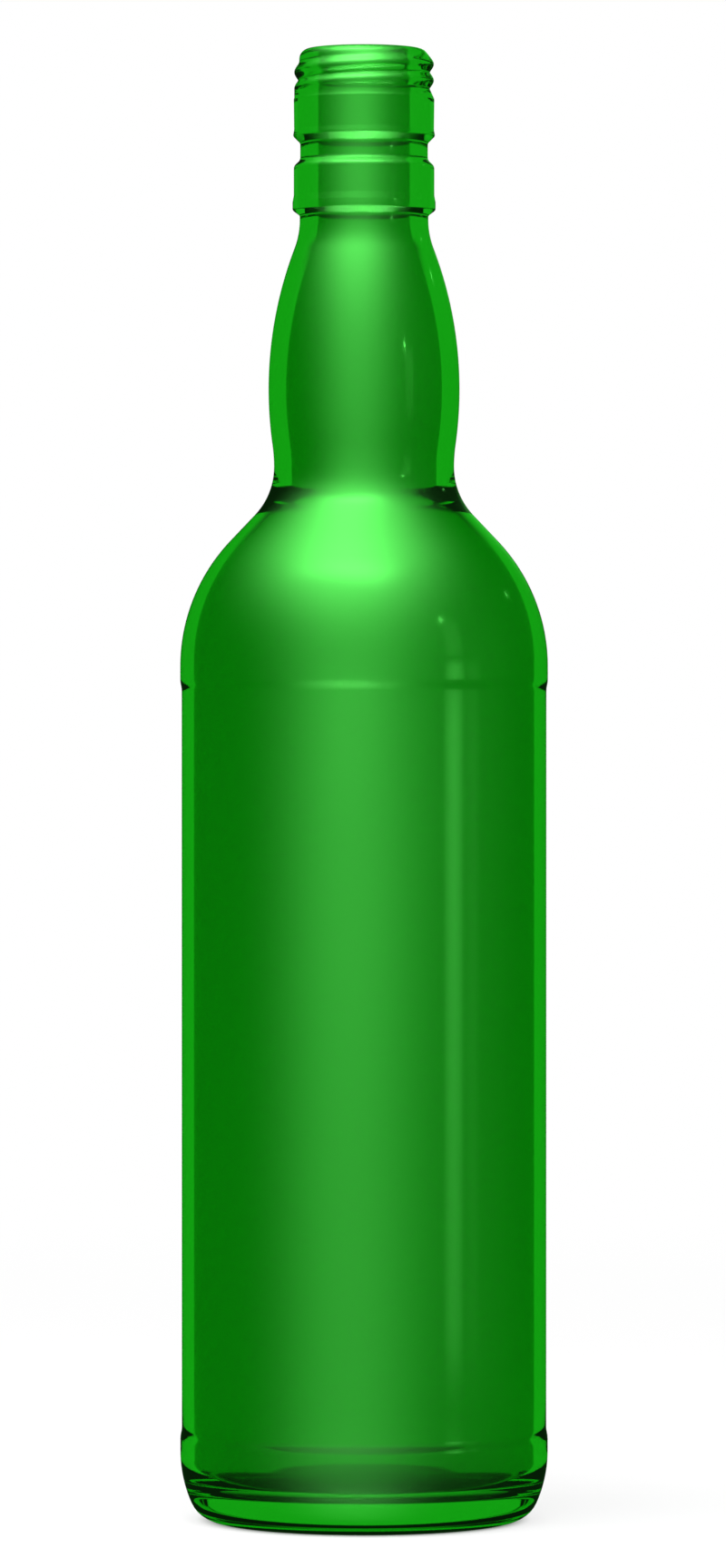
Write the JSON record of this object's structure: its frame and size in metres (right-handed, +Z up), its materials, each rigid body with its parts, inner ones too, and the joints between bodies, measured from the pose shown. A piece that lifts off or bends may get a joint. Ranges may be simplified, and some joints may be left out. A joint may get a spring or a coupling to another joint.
{
  "type": "whisky bottle",
  "caption": "Empty round green glass spirit bottle with a recessed label panel, full shoulder, swollen neck and a collared screw finish, standing open on its base.",
  "frame": {"origin": "centre of the ring that the bottle stands on, on the surface it stands on", "axes": "+Z up the bottle's axis, from the base to the rim; the round body has no front"},
  "size_m": [0.0736, 0.0736, 0.294],
  "materials": {
    "green_glass": "clear bright green glass, smooth and glossy inside and out"
  },
  "bodies": {
    "root": {"bottle": "green_glass"}
  },
  "joints": []
}
